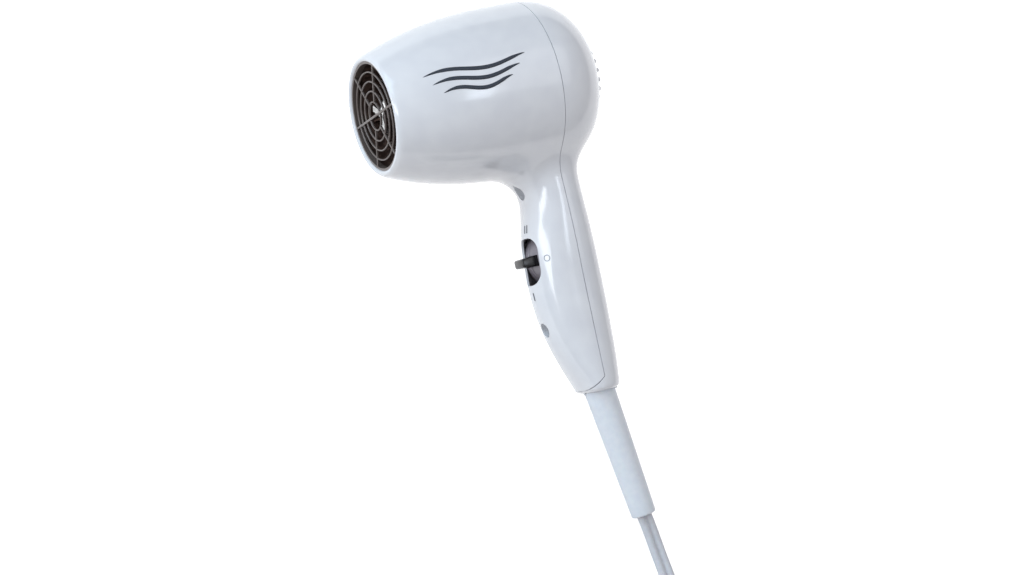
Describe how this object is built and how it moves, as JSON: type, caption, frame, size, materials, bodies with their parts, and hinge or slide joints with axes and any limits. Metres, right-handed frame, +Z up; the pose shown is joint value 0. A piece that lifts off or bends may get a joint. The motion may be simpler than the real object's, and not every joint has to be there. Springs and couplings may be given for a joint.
{
  "type": "hair dryer",
  "caption": "Compact hair dryer on its side: tapered round barrel, ringed outlet grille, domed rear cover, curved handle with lever switch, tapered strain relief, flat lead and trip plug.",
  "frame": {"origin": "on the surface that the dryer lies on, under the middle of the dryer's box without its lead", "axes": "+Z up from the surface; the barrel lies along X with its outlet toward -X; the handle points toward -Y"},
  "size_m": [0.1418, 0.4415, 0.083],
  "materials": {
    "white_shell": "gloss moulded",
    "grille_taupe": "satin, heat resistant",
    "lint_mesh": "woven wire",
    "steel_screw": "bright zinc",
    "mica": "pressed mica sheet",
    "nichrome": "drawn wire",
    "plated_steel": "zinc plated",
    "duct_plastic": "moulded",
    "black_plastic": "moulded",
    "magnet": "sintered",
    "brass": "stamped",
    "carbon": "pressed carbon",
    "circuit_board": "laminate",
    "copper": "copper",
    "switch_grey": "satin moulded",
    "wire_jacket": "insulated wire",
    "relief_vinyl": "soft moulded vinyl",
    "cord_vinyl": "flat twin jacket",
    "plug_white": "moulded",
    "test_blue": "moulded",
    "reset_red": "moulded"
  },
  "bodies": {
    "housing": {"front_shell": "white_shell", "rear_cover": "white_shell", "outlet_grille": "grille_taupe", "intake_grille": "white_shell", "lint_screen": "lint_mesh", "shell_screws": "steel_screw", "heater_liner": "mica", "heater_board_a": "mica", "heater_board_b": "mica", "heater_bracket": "plated_steel", "heater_coil_main": "nichrome", "heater_coil_low": "nichrome", "thermostat": "plated_steel", "thermal_fuse": "plated_steel", "motor_mount": "duct_plastic", "motor_can": "plated_steel", "motor_end_cap": "black_plastic", "motor_magnets": "magnet", "motor_bearings": "brass", "motor_brushes": "carbon", "rectifier_board": "circuit_board", "rectifier_diodes": "black_plastic", "switch_body": "black_plastic", "switch_terminals": "brass", "cord_clamp": "duct_plastic", "clamp_screws": "steel_screw", "lead_wires": "wire_jacket", "wire_connectors": "duct_plastic", "strain_relief": "relief_vinyl", "cord": "cord_vinyl", "cord_coil": "cord_vinyl", "cord_tie": "black_plastic", "plug_body": "plug_white", "plug_cover": "plug_white", "plug_blades": "brass", "plug_strain_relief": "relief_vinyl", "plug_screws": "steel_screw", "plug_board": "circuit_board", "trip_relay": "black_plastic", "test_spring": "steel_screw", "reset_spring": "steel_screw"},
    "rotor": {"motor_shaft": "steel_screw", "armature_core": "plated_steel", "armature_windings": "copper", "commutator": "copper", "fan_impeller": "duct_plastic"},
    "lever": {"switch_lever": "switch_grey", "switch_pivot": "steel_screw"},
    "slider": {"contact_slider": "duct_plastic", "slider_contact": "copper"},
    "test_key": {"test_button": "test_blue"},
    "reset_key": {"reset_button": "reset_red"}
  },
  "joints": [
    {"name": "impeller_spin", "type": "hinge", "parent": "housing", "child": "rotor", "pos_m": [0.02075, 0.08501, 0.0415], "axis": [1, 0, 0], "continuous": true},
    {"name": "lever_swing", "type": "hinge", "parent": "housing", "child": "lever", "pos_m": [0.02275, 0.00366, 0.02779], "axis": [0, 0.1662, -0.9861], "range_deg": [-14, 14]},
    {"name": "slider_travel", "type": "slide", "parent": "housing", "child": "slider", "axis": [0, -0.9861, -0.1662], "range_m": [-0.0015, 0.0015]},
    {"name": "test_press", "type": "slide", "parent": "housing", "child": "test_key", "axis": [0, 0, -1], "range_m": [0, 0.0012], "stiffness_N_per_m": 150, "springref_m": -0.002, "deforming": ["test_spring"]},
    {"name": "reset_press", "type": "slide", "parent": "housing", "child": "reset_key", "axis": [0, 0, -1], "range_m": [0, 0.0012], "stiffness_N_per_m": 150, "springref_m": -0.002, "deforming": ["reset_spring"]}
  ],
  "couplings": [
    {"joint": "slider_travel", "follows": "lever_swing", "m_per_rad": 0.006}
  ]
}
